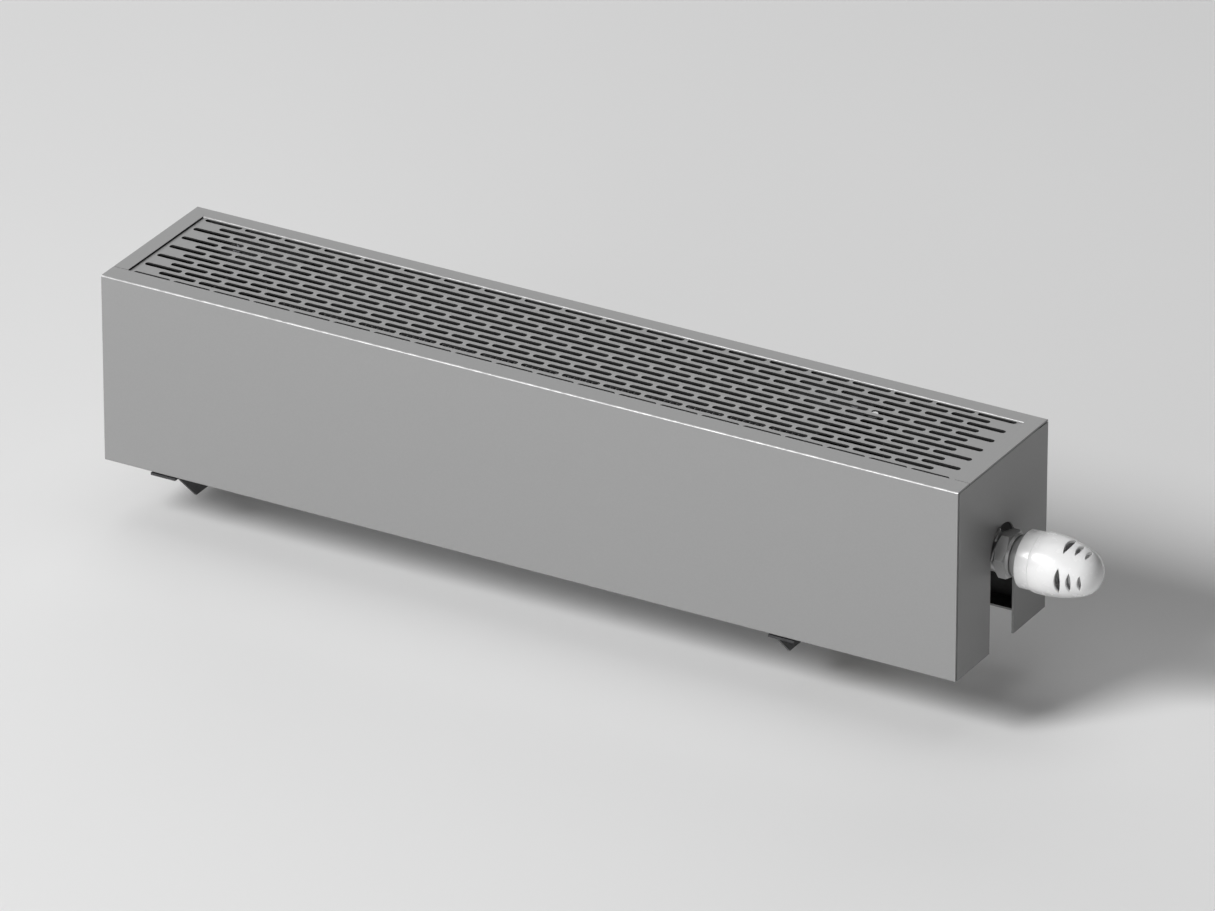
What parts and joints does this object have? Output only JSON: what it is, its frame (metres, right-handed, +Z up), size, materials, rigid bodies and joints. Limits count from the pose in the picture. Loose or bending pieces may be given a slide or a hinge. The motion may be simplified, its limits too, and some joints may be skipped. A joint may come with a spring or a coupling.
{
  "type": "wall convector",
  "caption": "Long sheet-metal casing with a slotted top grille over a finned core on wall brackets; a thermostatic valve head comes out of its right end.",
  "frame": {"origin": "middle of the four wall-screw slots of the brackets, on the wall plane", "axes": "+X along the wall to the valve end, +Y into the wall, +Z up"},
  "size_m": [0.7859, 0.135, 0.1784],
  "materials": {
    "casing_metal": "satin",
    "grille_metal": "satin",
    "inner_metal": "satin",
    "bracket_metal": "matte",
    "bright_steel": "satin",
    "fin_metal": "satin",
    "copper": "satin",
    "brass": "satin",
    "nickel": "satin",
    "white_plastic": "gloss",
    "pale_plastic": "matte",
    "black_rubber": "matte"
  },
  "bodies": {
    "core": {"left_bracket": "bracket_metal", "right_bracket": "bracket_metal", "rest_pads": "black_rubber", "tube_saddles": "pale_plastic", "fin_pack": "fin_metal", "left_end_plate": "inner_metal", "right_end_plate": "inner_metal", "core_tubes": "copper", "return_bends": "copper", "flow_header": "brass", "return_header": "brass", "header_caps": "brass", "drain_plug": "brass", "vent_body": "nickel", "flow_nipple": "brass", "nipple_nut": "nickel", "valve_body": "nickel", "valve_insert": "brass", "gland_nut": "nickel", "gland_ring": "black_rubber", "return_spring": "bright_steel", "flow_tail": "nickel", "tail_nut": "nickel", "return_nipple": "brass", "return_valve_body": "nickel", "ball_seats": "pale_plastic", "stem_seal": "black_rubber", "return_plug": "nickel", "stem_cap": "white_plastic", "union_nut": "nickel", "head_socket": "nickel", "head_base": "white_plastic"},
    "casing": {"casing_shell": "casing_metal", "front_panel": "casing_metal", "grille": "grille_metal", "front_ledge": "inner_metal", "rear_ledge": "inner_metal", "corner_angles": "inner_metal", "casing_hangers": "inner_metal", "levelling_screws": "bright_steel", "lock_nuts": "bright_steel"},
    "air_vent": {"vent_screw": "bright_steel"},
    "ball": {"return_ball": "bright_steel", "ball_stem": "nickel"},
    "wheel": {"handwheel": "white_plastic"},
    "plunger": {"spindle": "bright_steel", "disc_washer": "black_rubber", "sensor": "pale_plastic", "push_pin": "pale_plastic"}
  },
  "joints": [
    {"name": "casing_lift", "type": "slide", "parent": "core", "child": "casing", "axis": [0, 0, 1], "range_m": [0, 0.16]},
    {"name": "thermostat_turn", "type": "hinge", "parent": "core", "child": "wheel", "pos_m": [0.45, -0.0675, 0.004], "axis": [1, 0, 0], "range_deg": [-150, 150]},
    {"name": "plunger_travel", "type": "slide", "parent": "core", "child": "plunger", "axis": [1, 0, 0], "range_m": [-0.00125, 0.00125]},
    {"name": "vent_turn", "type": "hinge", "parent": "core", "child": "air_vent", "pos_m": [0.2775, -0.0425, 0.03], "axis": [0, 0, 1], "range_deg": [0, 180]},
    {"name": "return_valve_turn", "type": "hinge", "parent": "core", "child": "ball", "pos_m": [0.3105, -0.0675, -0.036], "axis": [0, 1, 0], "range_deg": [0, 90]}
  ],
  "couplings": [
    {"joint": "plunger_travel", "follows": "thermostat_turn", "m_per_rad": 0.00047746}
  ]
}
